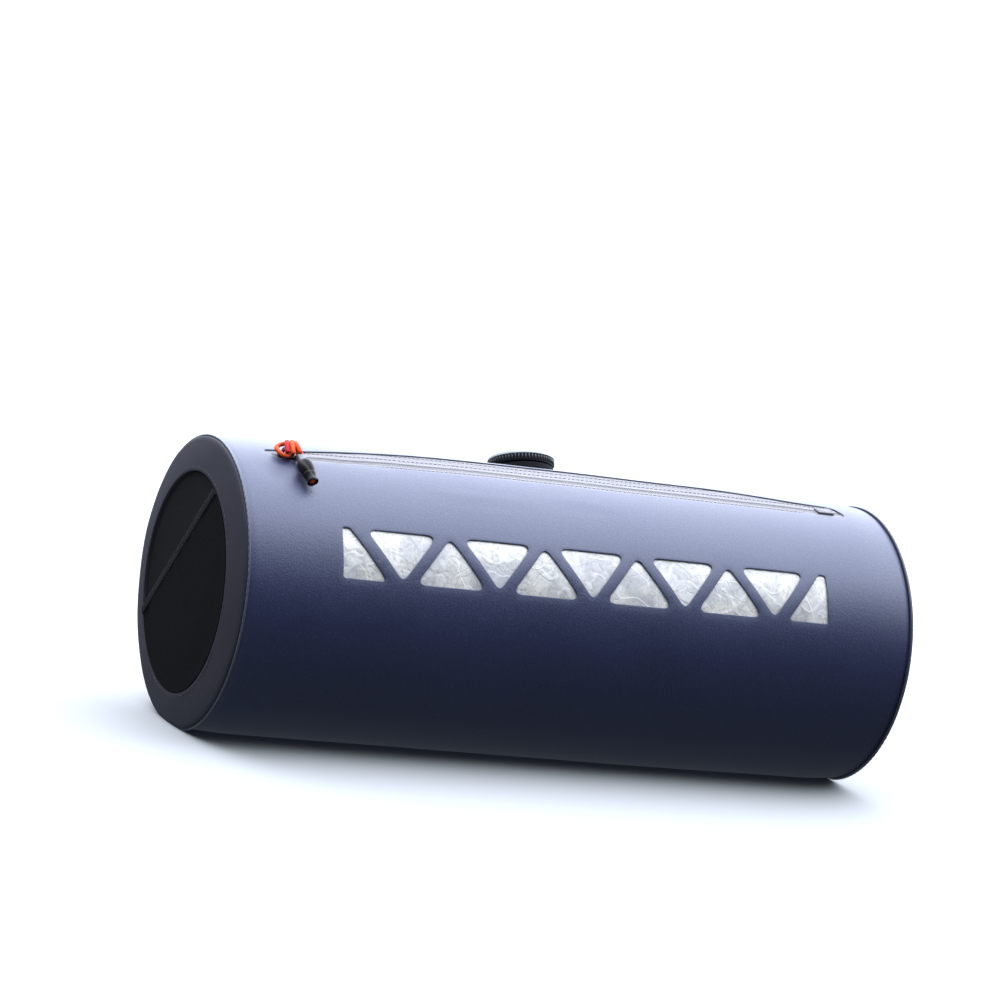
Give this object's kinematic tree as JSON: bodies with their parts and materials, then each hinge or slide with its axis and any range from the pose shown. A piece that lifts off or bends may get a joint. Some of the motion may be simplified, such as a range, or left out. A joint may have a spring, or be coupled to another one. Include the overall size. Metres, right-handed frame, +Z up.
{
  "type": "bicycle handlebar bag",
  "caption": "Round handlebar bag in navy coated cloth with triangular pearl windows, a zip along the top, black end pockets and a turning dial behind.",
  "frame": {"origin": "middle of the flat strip that the bag rests on, under the middle of its length", "axes": "+X along the bag from the zip's slider end to its stop end, -Y the windowed front, +Z up from the surface it rests on"},
  "size_m": [0.3492, 0.1517, 0.1394],
  "materials": {
    "navy_cloth": "fine-grained coated cloth, satin",
    "pearl_film": "crinkled pearl film, glossy",
    "end_cloth": "fine-grained coated cloth, matt",
    "welt_piping": "coated piping, satin",
    "black_cloth": "stretch knit, matt",
    "zip_tape": "coated zip tape, satin",
    "zip_hardware": "black enamel, satin",
    "pull_cord": "braided cord",
    "grey_rubber": "moulded, matt",
    "black_rubber": "moulded, satin",
    "black_plastic": "moulded, fine texture"
  },
  "bodies": {
    "bag": {"body_shell": "navy_cloth", "window_film": "pearl_film", "end_cap_left": "end_cloth", "end_cap_right": "end_cloth", "end_welt_left": "welt_piping", "end_welt_right": "welt_piping", "end_panel_left": "black_cloth", "end_panel_right": "black_cloth", "end_pocket_left": "black_cloth", "end_pocket_right": "black_cloth", "pocket_hem_left": "black_cloth", "pocket_hem_right": "black_cloth", "zip_tape_front": "zip_tape", "zip_tape_rear": "zip_tape", "zip_end_stop": "zip_hardware", "zip_slider": "zip_hardware", "zip_pull_cord": "pull_cord", "zip_pull_ferrule": "grey_rubber", "zip_pull_grip": "black_rubber", "bar_bracket": "black_plastic"},
    "dial": {"dial_knob": "black_plastic"}
  },
  "joints": [
    {"name": "dial_turn", "type": "hinge", "parent": "bag", "child": "dial", "pos_m": [-0.0016, 0.03104, 0.12863], "axis": [0, 0.4384, 0.8988], "continuous": true}
  ]
}
